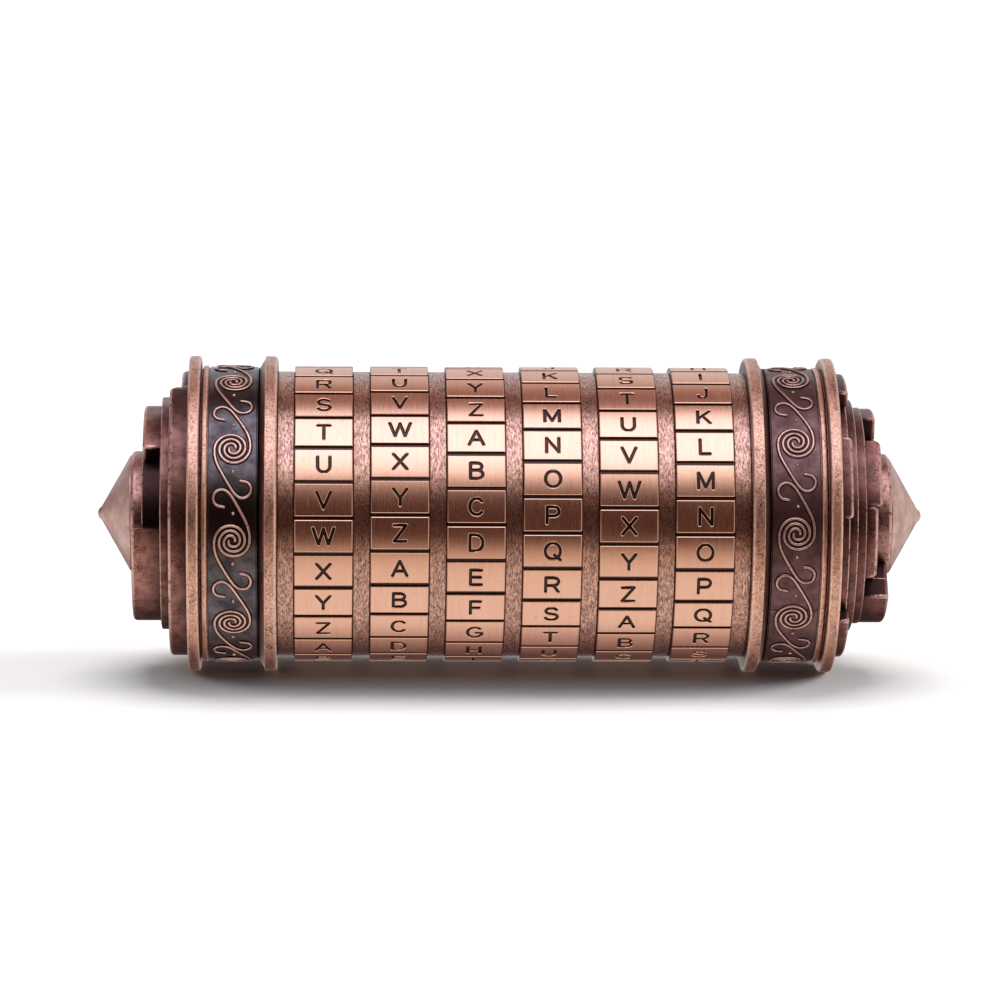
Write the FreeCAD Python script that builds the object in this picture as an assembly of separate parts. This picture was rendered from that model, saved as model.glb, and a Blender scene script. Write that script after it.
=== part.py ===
import FreeCAD, Part
import math
import os

# Cryptex: a letter-lock message vault. Millimetres, +Z up, the axis of every ring along X, origin at the
# middle of the axis. The fixed frame is at the left (-X), and the vault pulls out to the right (+X).
# Angles run about the axis from the front (-Y), positive towards the underside (-Z).

# Driving dimensions
overall_length = 118.0
end_flange_radius = 22.5
wheel_count = 6
wheel_pitch = 10.69
wheel_radius = 21.1
letters = 26

# Running gaps
axial_gap = 0.04          # between a wheel and the spacer beside it
running_gap = 0.05        # radial, between pieces that slide or turn on each other
seat_gap = 0.03           # radial, between pieces that are assembled and stay put
beyond = 1.0              # how far a cutting shape runs past the face that it cuts

# Vault: the sliding tube, its rail and its pins
chamber_radius = 8.0
vault_wall = 1.4
vault_radius = chamber_radius + vault_wall
mouth_x = -30.5
rebate_radius = 8.6
rail_setback = 0.5
rail_seat_height = 9.1
rail_width = 2.8
rail_top = 11.6
pin_width = 2.4
pin_length = 2.8
pin_top = 14.5
pin_play = 0.6            # from a locking pin to the web that stops it
pin_shank_radius = 0.8

# Slotted tube that every wheel turns on
tube_bore = vault_radius + running_gap
tube_radius = 11.7
tube_slot_width = 3.0
tube_slot_start = -31.0
key_width = 2.0
key_depth = 0.6

# Letter wheels and spacers
spacer_width = 2.40
wheel_width = wheel_pitch - spacer_width - 2 * axial_gap
spacer_radius = 20.33
gate_width = 3.6
gate_radius = 15.2
code_rim_inner = 17.0
code_rim_radius = 18.55
code_web_width = 3.2
letter_bore = code_rim_radius + seat_gap
code_notch_depth = 0.45
code_notch_width = 1.2
groove_width = 0.45
groove_depth = 0.35
wheel_edge = 0.15
first_groove_deg = (-76.29, -77.80, -74.23, -71.15, -80.93, -84.57)
code_key_deg = 90.0

# Collars at both ends, as distances from the middle
inner_flange_x = 3 * wheel_pitch + spacer_width / 2
inner_flange_edge_x = 35.0
sleeve_x = 36.0
bead_x = 43.0
bead_edge_x = 43.9
end_flange_x = 44.2
cap_x = 45.9
flange_crown = 0.35
flare_base_radius = 20.65
flare_top_radius = 22.2
sleeve_radius = 21.0
sleeve_bore = 19.0
sleeve_groove_radius = 20.65
sleeve_groove_width = 0.7
bead_radius = 21.15
spigot_depth = 1.6
end_spigot_radius = 20.7

# End caps
collar_radius = 12.0
hub_radius = 8.85
hub_x = 54.1
hub_edge = 0.5
finial_radius = hub_radius - hub_edge
finial_tip_radius = 0.7
finial_stud_radius = 2.5
finial_stud_length = 6.0
boss_depth = 4.0
lug_inner_radius = 17.0
lug_radius = 20.3
block_radius = 15.35
lug_edge = 0.5

# Cap screws, three at each end, countersunk from the inner face of the end flange
screw_circle = 14.5
screw_head_radius = 1.9
screw_shank_radius = 1.0
screw_head_depth = 0.9
screw_length = 4.6
screw_count = 3
screw_start_deg = 30.0

# Retaining ring with its two set screws
retaining_radius = 17.5
retaining_width = 3.5
set_screw_radius = 1.0
set_screw_recess = 1.0
set_screw_deg = (60.0, 120.0)

# Steps of the end cap castings: (outer radius, distance of the face from the middle)
left_steps = ((17.9, 47.3), (16.6, 49.75))
right_steps = ((17.9, 47.3), (16.6, 48.6), (15.5, 49.9))
# Raised sectors: (start, end, distance of the face from the middle)
left_lugs = ((-69.4, 104.0, 48.5), (104.0, 128.0, 46.9), (146.0, 196.0, 48.5), (214.0, 290.6, 46.9))
left_blocks = ((-128.0, -45.1, 52.3), (0.1, 112.0, 53.8), (140.0, 200.0, 52.3))
left_collar_x = 52.4
right_lugs = ((-112.0, -67.3, 47.6), (-41.2, -6.8, 47.6), (39.3, 92.0, 47.6), (118.0, 152.0, 47.6),
              (176.0, 222.0, 47.6))
right_blocks = ((-124.0, -72.0, 51.8), (-51.8, -12.8, 52.1), (-12.8, 27.2, 51.5), (40.5, 108.0, 53.5),
                (134.0, 176.0, 51.5), (176.0, 216.0, 52.6))
right_collar_x = 51.5

axis = FreeCAD.Vector(1, 0, 0)
middle = FreeCAD.Vector(0, 0, 0)


def cylinder(x0, x1, radius):
    """A solid cylinder on the axis from x0 to x1."""
    return Part.makeCylinder(radius, x1 - x0, FreeCAD.Vector(x0, 0, 0), axis)


def ring(x0, x1, inner, outer):
    """A plain ring on the axis."""
    return cylinder(x0, x1, outer).cut(cylinder(x0 - beyond, x1 + beyond, inner))


def sector(profile, start_deg, end_deg):
    """An outline of (distance along X, radius) points turned about the axis between two angles."""
    points = [FreeCAD.Vector(x, -radius, 0) for x, radius in profile]
    face = Part.Face(Part.makePolygon(points + points[:1]))
    face.rotate(middle, axis, start_deg)
    return face.revolve(middle, axis, end_deg - start_deg)


def turned(profile):
    """An outline of (distance along X, radius) points turned all the way round."""
    return sector(profile, 0, 360)


def bar(x0, x1, bottom, top, width):
    """A straight bar along X over the axis, between two heights."""
    return Part.makeBox(x1 - x0, width, top - bottom, FreeCAD.Vector(x0, -width / 2, bottom))


def placed_at(shape, angle_deg):
    """A shape made at the front (-Y) moved round the axis to an angle."""
    moved = shape.copy()
    moved.rotate(middle, axis, angle_deg)
    return moved


def front_bar(x0, x1, inner, outer, width):
    """A straight bar along X that stands at the front (-Y), between two radii."""
    return Part.makeBox(x1 - x0, outer - inner, width, FreeCAD.Vector(x0, -outer, -width / 2))


def front_rod(x, inner, outer, radius):
    """A round rod that points outwards at the front (-Y), between two radii."""
    return Part.makeCylinder(radius, outer - inner, FreeCAD.Vector(x, -inner, 0), FreeCAD.Vector(0, -1, 0))


def mirrored(shape):
    """The same piece on the left end."""
    return shape.mirror(middle, axis)


def gate(x0, x1):
    """The notch over the tube's slot that lets a locking pin pass."""
    return bar(x0 - beyond, x1 + beyond, 0, gate_radius, gate_width)


def tube_key(x0, x1):
    """The tongue under the axis that holds a fixed ring in the tube's keyway."""
    return bar(x0, x1, -tube_radius - 2 * seat_gap, -tube_radius + key_depth, key_width)


def keyed(shape, x0, x1):
    """A fixed ring with its gate cut and its tongue added."""
    return shape.cut(gate(x0, x1)).fuse(tube_key(x0, x1)).removeSplitter()


def slotted_tube():
    """The fixed tube that the wheels turn on, open along the top for the rail."""
    body = ring(-cap_x, bead_edge_x - running_gap, tube_bore, tube_radius)
    slot = bar(tube_slot_start, bead_edge_x + beyond, 0, tube_radius + beyond, tube_slot_width)
    keyway = bar(
        -inner_flange_x, bead_edge_x + beyond, -tube_radius - beyond, -tube_radius + key_depth, key_width)
    return body.cut([slot, keyway])


def spacer(index):
    """One of the fixed rings between the wheels."""
    centre = (index - wheel_count / 2) * wheel_pitch
    x0 = centre - spacer_width / 2
    x1 = centre + spacer_width / 2
    return keyed(ring(x0, x1, tube_radius + seat_gap, spacer_radius), x0, x1)


def wheel_span(index):
    """Both faces of one wheel."""
    centre = (index - (wheel_count - 1) / 2) * wheel_pitch
    return centre - wheel_width / 2, centre + wheel_width / 2


def letter_ring(index):
    """The outer ring of one wheel: 26 tiles outside, 26 notches inside for setting the code."""
    x0, x1 = wheel_span(index)
    body = turned((
        (x0, letter_bore), (x0, wheel_radius - wheel_edge), (x0 + wheel_edge, wheel_radius),
        (x1 - wheel_edge, wheel_radius), (x1, wheel_radius - wheel_edge), (x1, letter_bore),
    ))
    cuts = []
    for tile in range(letters):
        step = tile * 360.0 / letters
        groove = front_bar(
            x0 - beyond, x1 + beyond, wheel_radius - groove_depth, wheel_radius + beyond, groove_width)
        notch = front_bar(
            x0 - beyond, x1 + beyond, letter_bore - beyond, letter_bore + code_notch_depth,
            code_notch_width)
        cuts.append(placed_at(groove, first_groove_deg[index] + step))
        cuts.append(placed_at(notch, code_key_deg + step))
    return body.cut(cuts)


def code_ring(index):
    """The inner ring of one wheel: a web with the gate, and a rim that is keyed to the letter ring."""
    x0, x1 = wheel_span(index)
    body = turned((
        (x0, code_rim_inner), (x0, code_rim_radius), (x1, code_rim_radius),
        (x1, tube_radius + running_gap), (x1 - code_web_width, tube_radius + running_gap),
        (x1 - code_web_width, code_rim_inner),
    ))
    key_outer = letter_bore + code_notch_depth - seat_gap
    key = placed_at(front_bar(x0, x1, code_rim_inner, key_outer, code_notch_width), code_key_deg)
    return body.fuse(key).cut(gate(x0, x1)).removeSplitter()


def vault_tube():
    """The tube that holds the message, with a flat for the rail and a rebate for the cap's boss."""
    body = ring(mouth_x, cap_x, chamber_radius, vault_radius)
    flat = bar(mouth_x - beyond, bead_edge_x, rail_seat_height, vault_radius + beyond, 2 * vault_radius)
    rebate = cylinder(cap_x - boss_depth, cap_x + beyond, rebate_radius)
    return body.cut([flat, rebate])


def pin_span(index):
    """Both ends of one locking pin, which rests just left of its wheel's web."""
    x0, x1 = wheel_span(index)
    stop = x1 - code_web_width - pin_play
    return stop - pin_length, stop


def pin_rail():
    """The bar on the vault tube that runs in the slot and carries the pins."""
    rail = bar(mouth_x + rail_setback, bead_edge_x, rail_seat_height, rail_top, rail_width)
    holes = []
    for index in range(wheel_count):
        x0, x1 = pin_span(index)
        centre = FreeCAD.Vector((x0 + x1) / 2, 0, rail_seat_height)
        holes.append(Part.makeCylinder(pin_shank_radius, rail_top, centre))
    return rail.cut(holes)


def locking_pin(index):
    """One square pin with the shank that rivets it into the rail."""
    x0, x1 = pin_span(index)
    head = bar(x0, x1, rail_top, pin_top, pin_width)
    centre = FreeCAD.Vector((x0 + x1) / 2, 0, rail_seat_height)
    shank = Part.makeCylinder(pin_shank_radius - seat_gap, rail_top - rail_seat_height, centre)
    return head.fuse(shank).removeSplitter()


def inner_flange():
    """The flange beside the wheels, with the flare and the spigot that the sleeve sits on."""
    return turned((
        (inner_flange_x, tube_radius + seat_gap), (inner_flange_x, end_flange_radius - flange_crown),
        (inner_flange_x + flange_crown, end_flange_radius),
        (inner_flange_edge_x - flange_crown, end_flange_radius),
        (inner_flange_edge_x, flare_top_radius), (sleeve_x, flare_base_radius),
        (sleeve_x, sleeve_bore - seat_gap), (sleeve_x + spigot_depth, sleeve_bore - seat_gap),
        (sleeve_x + spigot_depth, tube_radius + seat_gap),
    ))


def sleeve():
    """The band between the flanges, with a fine groove along each edge."""
    body = ring(sleeve_x, bead_x, sleeve_bore, sleeve_radius)
    near = ring(sleeve_x, sleeve_x + sleeve_groove_width, sleeve_groove_radius, sleeve_radius + beyond)
    far = ring(bead_x - sleeve_groove_width, bead_x, sleeve_groove_radius, sleeve_radius + beyond)
    return body.cut([near, far])


def bead_ring():
    """The thin ring that closes the sleeve."""
    crown = (bead_edge_x - bead_x) / 3
    return turned((
        (bead_x, tube_radius + seat_gap), (bead_x, bead_radius - crown), (bead_x + crown, bead_radius),
        (bead_edge_x - crown, bead_radius), (bead_edge_x, bead_radius - crown),
        (bead_edge_x, tube_radius + seat_gap),
    ))


def end_flange(inner, gap):
    """The outer flange, with the shallow spigot behind it and its three countersunk holes."""
    body = turned((
        (bead_edge_x + gap, inner), (bead_edge_x + gap, end_spigot_radius),
        (end_flange_x, end_spigot_radius), (end_flange_x, end_flange_radius - flange_crown),
        (end_flange_x + flange_crown, end_flange_radius), (cap_x - flange_crown, end_flange_radius),
        (cap_x, end_flange_radius - flange_crown), (cap_x, inner),
    ))
    return body.cut(cap_screws(bead_edge_x + gap))


def cap_screws(head_x):
    """Three countersunk screws, from the inner face of an end flange into its cap."""
    screws = []
    for number in range(screw_count):
        angle = screw_start_deg + 360.0 / screw_count * number
        centre = FreeCAD.Vector(head_x, -screw_circle, 0)
        head = Part.makeCone(screw_head_radius, screw_shank_radius, screw_head_depth, centre, axis)
        shank = Part.makeCylinder(screw_shank_radius, screw_length, centre, axis)
        screws.append(placed_at(head.fuse(shank).removeSplitter(), angle))
    return Part.makeCompound(screws)


def end_cap(steps, lugs, blocks, collar_x, boss_radius, head_x):
    """The stepped casting at one end: steps, lugs, blocks, hub and the boss that plugs its tube."""
    solids = [cylinder(cap_x, face_x, radius) for radius, face_x in steps]
    top_x = steps[-1][1]
    for start, end, face_x in lugs:
        outline = (
            (cap_x, lug_inner_radius), (cap_x, lug_radius), (face_x - lug_edge, lug_radius),
            (face_x, lug_radius - lug_edge), (face_x, lug_inner_radius),
        )
        solids.append(sector(outline, start, end))
    for start, end, face_x in blocks:
        outline = (
            (cap_x, hub_radius), (cap_x, block_radius), (face_x - lug_edge, block_radius),
            (face_x, block_radius - lug_edge), (face_x, hub_radius),
        )
        solids.append(sector(outline, start, end))
    solids.append(cylinder(cap_x, collar_x, collar_radius))
    solids.append(turned((
        (cap_x, 0), (cap_x, hub_radius), (hub_x - hub_edge, hub_radius), (hub_x, hub_radius - hub_edge),
        (hub_x, 0),
    )))
    solids.append(cylinder(cap_x - boss_depth, top_x, boss_radius))
    stud_hole = cylinder(hub_x - finial_stud_length, hub_x + beyond, finial_stud_radius + seat_gap)
    body = solids[0].fuse(solids[1:]).removeSplitter()
    return body.cut([stud_hole, cap_screws(head_x)])


def finial():
    """The cone at one end, with a rounded tip and the stud that holds it in the hub."""
    tip_x = overall_length / 2
    slope = math.atan2(finial_radius, tip_x - hub_x)
    # The tip's arc touches the cone's side: its centre lies one tip radius behind the tip.
    centre_x = tip_x - finial_tip_radius
    side_angle = math.pi / 2 - slope
    touch = FreeCAD.Vector(
        centre_x + finial_tip_radius * math.cos(side_angle), -finial_tip_radius * math.sin(side_angle), 0)
    half = FreeCAD.Vector(
        centre_x + finial_tip_radius * math.cos(side_angle / 2),
        -finial_tip_radius * math.sin(side_angle / 2), 0)
    tip = FreeCAD.Vector(tip_x, 0, 0)
    outline = [
        FreeCAD.Vector(hub_x - finial_stud_length, 0, 0),
        FreeCAD.Vector(hub_x - finial_stud_length, -finial_stud_radius, 0),
        FreeCAD.Vector(hub_x, -finial_stud_radius, 0),
        FreeCAD.Vector(hub_x, -finial_radius, 0),
        touch,
    ]
    edges = [Part.LineSegment(a, b).toShape() for a, b in zip(outline, outline[1:])]
    edges.append(Part.Arc(touch, half, tip).toShape())
    edges.append(Part.LineSegment(tip, outline[0]).toShape())
    return Part.Face(Part.Wire(edges)).revolve(middle, axis, 360)


def retaining_ring():
    """The ring behind the right inner flange that holds the stack on the tube."""
    x0 = sleeve_x + spigot_depth
    x1 = x0 + retaining_width
    body = keyed(ring(x0, x1, tube_radius + seat_gap, retaining_radius), x0, x1)
    hole = front_rod((x0 + x1) / 2, tube_radius, retaining_radius + beyond, set_screw_radius)
    return body.cut([placed_at(hole, angle) for angle in set_screw_deg])


def retaining_screws():
    """The two set screws of the retaining ring, as one group."""
    x = sleeve_x + spigot_depth + retaining_width / 2
    rod = front_rod(x, tube_radius, retaining_radius - set_screw_recess, set_screw_radius - seat_gap)
    return Part.makeCompound([placed_at(rod, angle) for angle in set_screw_deg])


def build():
    """Every sub-part, by name."""
    parts = {
        "slotted_tube": slotted_tube(),
        "vault_tube": vault_tube(),
        "pin_rail": pin_rail(),
        "retaining_ring": retaining_ring(),
        "retaining_screws": retaining_screws(),
        "left_sleeve": mirrored(sleeve()),
        "right_sleeve": sleeve(),
        "left_bead_ring": mirrored(bead_ring()),
        "right_bead_ring": bead_ring().cut(gate(bead_x, bead_edge_x)),
        "left_inner_flange": mirrored(inner_flange()),
        "right_inner_flange": inner_flange().cut(gate(inner_flange_x, sleeve_x + spigot_depth)),
        "left_end_flange": mirrored(end_flange(tube_radius + seat_gap, 0)),
        "right_end_flange": end_flange(vault_radius + seat_gap, running_gap),
        "left_cap_screws": mirrored(cap_screws(bead_edge_x)),
        "right_cap_screws": cap_screws(bead_edge_x + running_gap),
        "left_end_cap": mirrored(end_cap(
            left_steps, left_lugs, left_blocks, left_collar_x, tube_bore - seat_gap, bead_edge_x)),
        "right_end_cap": end_cap(
            right_steps, right_lugs, right_blocks, right_collar_x, rebate_radius - seat_gap,
            bead_edge_x + running_gap),
        "left_finial": mirrored(finial()),
        "right_finial": finial(),
    }
    for index in range(wheel_count):
        parts[f"letter_ring_{index + 1}"] = letter_ring(index)
        parts[f"code_ring_{index + 1}"] = code_ring(index)
        parts[f"locking_pin_{index + 1}"] = locking_pin(index)
    for index in range(wheel_count + 1):
        parts[f"spacer_{index + 1}"] = spacer(index)
    return parts


os.makedirs("parts", exist_ok=True)
for name, shape in build().items():
    shape.exportStep(f"parts/{name}.step")
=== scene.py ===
import math

import bmesh
import bpy
import numpy as np
from mathutils import Matrix, Vector, geometry


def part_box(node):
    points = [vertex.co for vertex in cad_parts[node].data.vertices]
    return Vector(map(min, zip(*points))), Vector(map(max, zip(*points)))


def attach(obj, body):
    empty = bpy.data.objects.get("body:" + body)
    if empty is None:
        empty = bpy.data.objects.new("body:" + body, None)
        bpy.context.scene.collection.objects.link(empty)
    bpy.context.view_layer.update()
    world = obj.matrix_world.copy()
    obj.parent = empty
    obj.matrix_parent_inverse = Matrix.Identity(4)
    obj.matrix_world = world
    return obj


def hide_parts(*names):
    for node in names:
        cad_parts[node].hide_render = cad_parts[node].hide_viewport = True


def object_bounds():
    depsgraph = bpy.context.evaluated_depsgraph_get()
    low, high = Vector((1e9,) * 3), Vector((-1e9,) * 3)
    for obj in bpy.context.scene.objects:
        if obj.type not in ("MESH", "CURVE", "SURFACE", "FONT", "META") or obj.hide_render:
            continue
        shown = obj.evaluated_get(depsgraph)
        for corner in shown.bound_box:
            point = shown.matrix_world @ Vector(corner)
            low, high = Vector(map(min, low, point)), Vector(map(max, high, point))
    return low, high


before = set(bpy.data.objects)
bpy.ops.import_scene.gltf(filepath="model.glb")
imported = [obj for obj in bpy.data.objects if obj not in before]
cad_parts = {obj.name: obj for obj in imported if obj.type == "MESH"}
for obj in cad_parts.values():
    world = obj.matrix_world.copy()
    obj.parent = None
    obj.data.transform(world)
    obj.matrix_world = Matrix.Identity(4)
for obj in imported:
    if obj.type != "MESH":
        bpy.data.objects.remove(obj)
cad_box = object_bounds()

# Lengths are in metres, as in the frame. Angles run about X from the front (-Y), positive downwards.
MM = 0.001
TURN = 2 * math.pi

# ---------------------------------------------------------------- sizes that the looks add to the frame

LETTERS = "ABCDEFGHIJKLMNOPQRSTUVWXYZ"
TILE = TURN / len(LETTERS)
WHEELS = 6
# For each wheel: the angle of a groove near the top, in degrees, and the letter on the tile just below it.
WHEEL_MARKS = ((-75.6, "R"), (-76.9, "U"), (-73.3, "Y"), (-70.2, "L"), (-79.9, "S"), (-83.6, "I"))

# Tiles and letters. A groove or stroke is this wide at the surface and at its floor.
GROOVE_WIDTH = 0.56 * MM
GROOVE_FLOOR = 0.34 * MM
GROOVE_DEPTH = 0.34 * MM
CHAMFER_WIDTH = 0.09 * MM
CHAMFER_DEPTH = 0.05 * MM
TILE_EDGE = 0.16 * MM
TILE_SIDE_GROOVE = 0.07 * MM
LETTER_HEIGHT = 2.72 * MM
STROKE_WIDTH = 0.45 * MM
STROKE_FLOOR = 0.26 * MM
STROKE_CHAMFER = 0.06 * MM
STROKE_SLACK = 0.005 * MM
STROKE_END_STEPS = 8
LETTER_DEPTH = 0.24 * MM
FLAT_DEPTH = 1e-4 * MM
TILE_BENDS = 8
RING_CLEARANCE = 0.02 * MM

# Scrolls: how many round each band, and the angle of the first one's centre in degrees
SCROLLS = 10
SCROLL_START = {"left": 2.5, "right": -0.9}
WIRE_RADIUS = 0.20 * MM
DOT_RADIUS = 0.27 * MM
SPIRAL_RADIUS = 2.5 * MM
SPIRAL_TURNS = 1.5
SPIRAL_INNER = 0.42 * MM
SPIRAL_STEPS = 40
CURVE_STEPS = 6
WIRE_END_REACH = 0.7
WIRE_END_SHARE = 0.5
DOT_PLACES = ((0.15, -3.85), (0.1, 3.35))
DOT_STRETCH = 0.04 * MM
DOT_SUNK = 0.1 * MM
SCROLL_PROUD = 0.04 * MM

# Turned rings
RING_SEGMENTS = 256
ROUNDING_STEPS = 4
RIM_RADIUS = 21 * MM
SEAM_WIDTH = 0.16 * MM
SEAM_DEPTH = 0.10 * MM
SEAM_REACH = 0.5 * MM
BAND_SEAMS = {"left": (112.0, 208.0), "right": (-70.0, 31.3)}
# Painted shade in a recess fades out over this distance up to its radius.
SHADE_BLEND = 0.15 * MM
EDGE_ROUNDING = 0.12 * MM
SPACER_ROUNDING = 0.15 * MM
SCREW_PROUD = 0.05 * MM
TUBE_BORE = 11.73 * MM
VAULT_BORE = 9.43 * MM
GATE_WIDTH = 3.6 * MM
GATE_TOP = 15.2 * MM
GATE_SPREAD = 1.15

# Faces that meet at more than this many degrees keep a sharp edge.
SHARP_RING = 35
SHARP_TILE = 20
SHARP_CAP = 32
SHARP_SCROLL = 60


# ---------------------------------------------------------------- mesh helpers

def set_round_shading(mesh, on_cylinder):
    """Shades the faces whose points all lie on the cylinder about X as the true cylinder."""
    normals = []
    for face in mesh.polygons:
        true_round = all(on_cylinder[v] for v in face.vertices)
        for v in face.vertices:
            _, y, z = mesh.vertices[v].co
            normals.append(Vector((0, y, z)).normalized() if true_round else Vector((0, 0, 0)))
    mesh.normals_split_custom_set(normals)


def finish_piece(name, verts, faces, body, stands_for, material, attributes,
                 sharp=SHARP_RING, on_cylinder=None):
    """Makes a mesh object, smooth except at sharp edges, that rides on a body and stands for CAD nodes."""
    mesh = bpy.data.meshes.new(name)
    mesh.from_pydata([tuple(v) for v in verts], [], faces)
    mesh.validate()
    shell = bmesh.new()
    shell.from_mesh(mesh)
    bmesh.ops.recalc_face_normals(shell, faces=shell.faces)
    shell.to_mesh(mesh)
    shell.free()
    for label, values in attributes.items():
        layer = mesh.attributes.new(label, "FLOAT", "POINT")
        layer.data.foreach_set("value", np.asarray(values, np.float32))
    mesh.shade_smooth()
    mesh.set_sharp_from_angle(angle=math.radians(sharp))
    piece = bpy.data.objects.new(name, mesh)
    bpy.context.scene.collection.objects.link(piece)
    mesh.materials.append(material)
    if on_cylinder:
        set_round_shading(mesh, on_cylinder)
    else:
        weighted = piece.modifiers.new("even shading", "WEIGHTED_NORMAL")
        weighted.keep_sharp = True
    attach(piece, body)
    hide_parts(*stands_for)


def around(x, radius, angle):
    """The point at a distance along X, a radius and an angle."""
    return (x, -radius * math.cos(angle), -radius * math.sin(angle))


def rounded(outline, radius):
    """A closed outline of (x, radius) corners with each corner rounded, and how worn each point is.

    A corner may carry its own rounding as a third number. The middle of an outward rounding is the most worn.
    """
    points = []
    count = len(outline)
    for i, corner in enumerate(outline):
        here = Vector(corner[:2])
        before = Vector(outline[i - 1][:2]) - here
        after = Vector(outline[(i + 1) % count][:2]) - here
        size = corner[2] if len(corner) > 2 else radius
        if size <= 0 or before.length == 0 or after.length == 0:
            points.append((here, 0.0))
            continue
        reach = min(size, 0.45 * before.length, 0.45 * after.length)
        start = here + before.normalized() * reach
        end = here + after.normalized() * reach
        for step in range(ROUNDING_STEPS + 1):
            t = step / ROUNDING_STEPS
            point = start * (1 - t) ** 2 + here * (2 * t * (1 - t)) + end * t ** 2
            outward = before.cross(after) < 0
            points.append((point, math.sin(math.pi * t) if outward else 0.0))
    return points


def gated_bore(angle):
    """The bore's radius at an angle, for a ring whose gate opens upwards over the tube's slot."""
    lean = math.radians(abs((math.degrees(angle) + 90 + 180) % 360 - 180))
    if lean >= math.asin(GATE_WIDTH / 2 / TUBE_BORE):
        return TUBE_BORE
    return min(GATE_TOP / math.cos(lean), GATE_WIDTH / 2 / max(math.sin(lean), 1e-6))


def ring_angles(gated):
    """Even steps round a ring, with the edges of its gate added."""
    angles = {TURN * i / RING_SEGMENTS for i in range(RING_SEGMENTS)}
    if gated:
        leans = [math.asin(GATE_WIDTH / 2 / radius) for radius in (TUBE_BORE, GATE_SPREAD * TUBE_BORE)]
        for lean in leans + [math.atan(GATE_WIDTH / 2 / GATE_TOP)]:
            angles |= {(-TURN / 4 + lean) % TURN, (-TURN / 4 - lean) % TURN}
    return sorted(angles)


def turned_piece(name, outline, body, stands_for, material, rounding=EDGE_ROUNDING, side=1,
                 gated=False, seams=(), shaded_below=0.0):
    """A closed outline of (distance from the middle, radius) corners turned about the X axis.

    The corners run anticlockwise, with the distance to the right and the radius up. side is -1 at the left.
    seams are the angles of fine mould lines across the outside, in degrees, drawn as dark lines. Below the
    radius given last, the recesses are painted dark as shade.
    """
    points = rounded(outline, rounding)
    count = len(points)
    verts = []
    wear_and_shade = []
    grime_and_shade = []
    angles = ring_angles(gated)
    outside = max(point.y for point, _ in points)
    bottoms = {math.radians(seam) % TURN for seam in seams}
    for bottom in bottoms:
        angles += [bottom - SEAM_WIDTH / 2 / outside, bottom, bottom + SEAM_WIDTH / 2 / outside]
    angles.sort()
    for angle in angles:
        least = gated_bore(angle) if gated else 0.0
        depth = SEAM_DEPTH if angle in bottoms else 0.0
        for point, worn in points:
            radius = point.y - (depth if point.y > outside - SEAM_REACH else 0.0)
            verts.append(around(side * point.x, max(radius, least), angle))
            wear_and_shade.append(worn)
            # Below the given radius the recess is painted dark as shade; seam bottoms are dark lines.
            recess_shade = ramp(shaded_below - radius, 0.0, SHADE_BLEND)
            grime_and_shade.append(1.0 if radius < point.y else recess_shade)
    faces = []
    for step in range(len(angles)):
        near = step * count
        far = (step + 1) % len(angles) * count
        for i in range(count):
            j = (i + 1) % count
            faces.append((near + i, near + j, far + j, far + i))
    finish_piece(name, verts, faces, body, stands_for, material, {"wear_and_shade": wear_and_shade, "grime_and_shade": grime_and_shade})


# ---------------------------------------------------------------- letters, as the strokes an engraver cuts

def arc(cx, cy, rx, ry, start, end, steps=10):
    """Points on an ellipse arc, in degrees."""
    angles = [math.radians(start + (end - start) * i / steps) for i in range(steps + 1)]
    return [(cx + rx * math.cos(a), cy + ry * math.sin(a)) for a in angles]


def bowl(left, top, bottom, straight):
    """The round side of letters such as D and P, from the top of the stem to its foot."""
    middle = (top + bottom) / 2
    return [(left, top)] + arc(straight, middle, 1 - straight, (top - bottom) / 2, 90, -90) + [(left, bottom)]


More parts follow.
